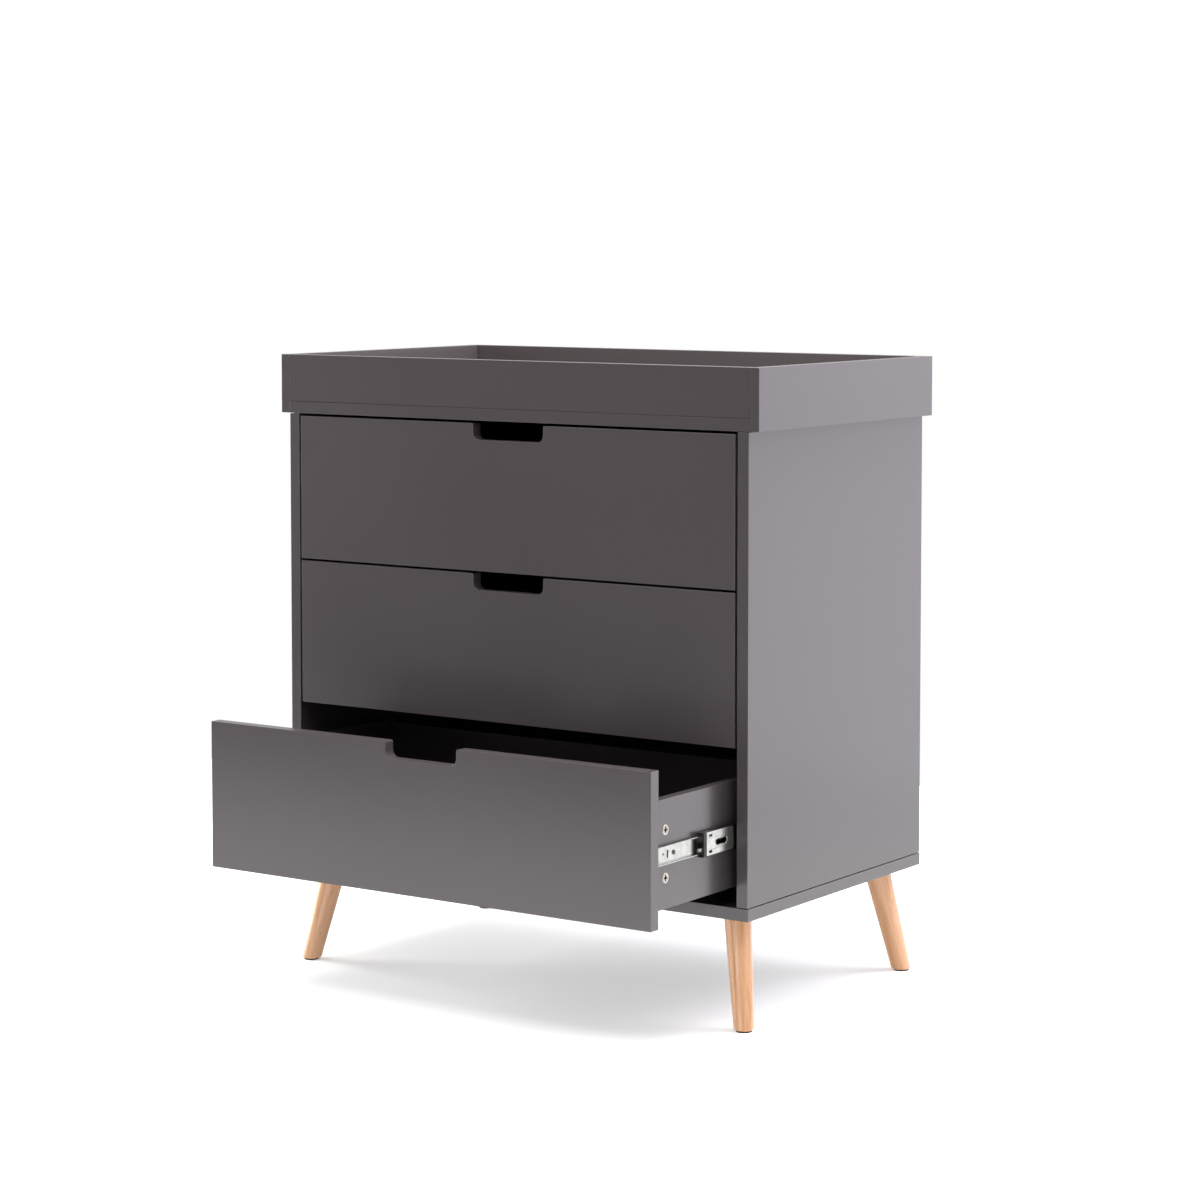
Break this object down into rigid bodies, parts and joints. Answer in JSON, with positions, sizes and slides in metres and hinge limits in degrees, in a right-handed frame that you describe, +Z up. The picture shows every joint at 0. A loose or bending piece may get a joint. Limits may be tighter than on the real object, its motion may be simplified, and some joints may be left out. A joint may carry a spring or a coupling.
{
  "type": "changing table",
  "caption": "Nursery changing table: chest of inset drawers with finger notches on splayed tapered wooden legs, with a shallow changing tray on top.",
  "frame": {"origin": "on the floor, under the middle of the bounding box of the rest pose, in which the bottom drawer stands 203 mm open", "axes": "+Z up; the drawer fronts face -Y and the drawers open towards -Y; +X is to the right seen from the front"},
  "size_m": [0.83, 0.683, 0.9055],
  "materials": {
    "lacquered_board": "satin grey lacquer on fibreboard",
    "beech": "turned beech, clear satin lacquer",
    "foot_rubber": "matt",
    "zinc_steel": "bright zinc plating",
    "cam_zinc": "die-cast zinc",
    "black_plastic": "moulded"
  },
  "bodies": {
    "carcass": {"back_panel": "lacquered_board", "bottom_panel": "lacquered_board", "drawer_bottom_runner_left_cabinet": "zinc_steel", "drawer_bottom_runner_right_cabinet": "zinc_steel", "drawer_middle_runner_left_cabinet": "zinc_steel", "drawer_middle_runner_right_cabinet": "zinc_steel", "drawer_top_runner_left_cabinet": "zinc_steel", "drawer_top_runner_right_cabinet": "zinc_steel", "foot_pad_back_left": "foot_rubber", "foot_pad_back_right": "foot_rubber", "foot_pad_front_left": "foot_rubber", "foot_pad_front_right": "foot_rubber", "leg_back_left": "beech", "leg_back_right": "beech", "leg_bolt_back_left": "zinc_steel", "leg_bolt_back_right": "zinc_steel", "leg_bolt_front_left": "zinc_steel", "leg_bolt_front_right": "zinc_steel", "leg_front_left": "beech", "leg_front_right": "beech", "side_panel_left": "lacquered_board", "side_panel_right": "lacquered_board", "top_panel": "lacquered_board", "tray_back": "lacquered_board", "tray_front": "lacquered_board", "tray_side_left": "lacquered_board", "tray_side_right": "lacquered_board"},
    "drawer_top": {"drawer_top_back": "lacquered_board", "drawer_top_base": "lacquered_board", "drawer_top_front": "lacquered_board", "drawer_top_runner_left_drawer": "zinc_steel", "drawer_top_runner_right_drawer": "zinc_steel", "drawer_top_side_left": "lacquered_board", "drawer_top_side_right": "lacquered_board"},
    "runners_top": {"drawer_top_runner_left_middle": "zinc_steel", "drawer_top_runner_right_middle": "zinc_steel"},
    "drawer_middle": {"drawer_middle_back": "lacquered_board", "drawer_middle_base": "lacquered_board", "drawer_middle_front": "lacquered_board", "drawer_middle_runner_left_drawer": "zinc_steel", "drawer_middle_runner_right_drawer": "zinc_steel", "drawer_middle_side_left": "lacquered_board", "drawer_middle_side_right": "lacquered_board"},
    "runners_middle": {"drawer_middle_runner_left_middle": "zinc_steel", "drawer_middle_runner_right_middle": "zinc_steel"},
    "drawer_bottom": {"drawer_bottom_back": "lacquered_board", "drawer_bottom_base": "lacquered_board", "drawer_bottom_cam_lock_left_lower": "cam_zinc", "drawer_bottom_cam_lock_left_upper": "cam_zinc", "drawer_bottom_cam_lock_right_lower": "cam_zinc", "drawer_bottom_cam_lock_right_upper": "cam_zinc", "drawer_bottom_front": "lacquered_board", "drawer_bottom_runner_left_drawer": "zinc_steel", "drawer_bottom_runner_right_drawer": "zinc_steel", "drawer_bottom_side_left": "lacquered_board", "drawer_bottom_side_right": "lacquered_board"},
    "runners_bottom": {"drawer_bottom_runner_left_bumper": "black_plastic", "drawer_bottom_runner_left_middle": "zinc_steel", "drawer_bottom_runner_right_bumper": "black_plastic", "drawer_bottom_runner_right_middle": "zinc_steel"}
  },
  "joints": [
    {"name": "drawer_top_slide", "type": "slide", "parent": "carcass", "child": "drawer_top", "axis": [0, -1, 0], "range_m": [0, 0.35]},
    {"name": "runners_top_slide", "type": "slide", "parent": "carcass", "child": "runners_top", "axis": [0, -1, 0], "range_m": [0, 0.175]},
    {"name": "drawer_middle_slide", "type": "slide", "parent": "carcass", "child": "drawer_middle", "axis": [0, -1, 0], "range_m": [0, 0.35]},
    {"name": "runners_middle_slide", "type": "slide", "parent": "carcass", "child": "runners_middle", "axis": [0, -1, 0], "range_m": [0, 0.175]},
    {"name": "drawer_bottom_slide", "type": "slide", "parent": "carcass", "child": "drawer_bottom", "axis": [0, -1, 0], "range_m": [-0.203, 0.147]},
    {"name": "runners_bottom_slide", "type": "slide", "parent": "carcass", "child": "runners_bottom", "axis": [0, -1, 0], "range_m": [-0.1015, 0.0735]}
  ],
  "couplings": [
    {"joint": "runners_top_slide", "follows": "drawer_top_slide", "ratio": 0.5},
    {"joint": "runners_middle_slide", "follows": "drawer_middle_slide", "ratio": 0.5},
    {"joint": "runners_bottom_slide", "follows": "drawer_bottom_slide", "ratio": 0.5}
  ]
}
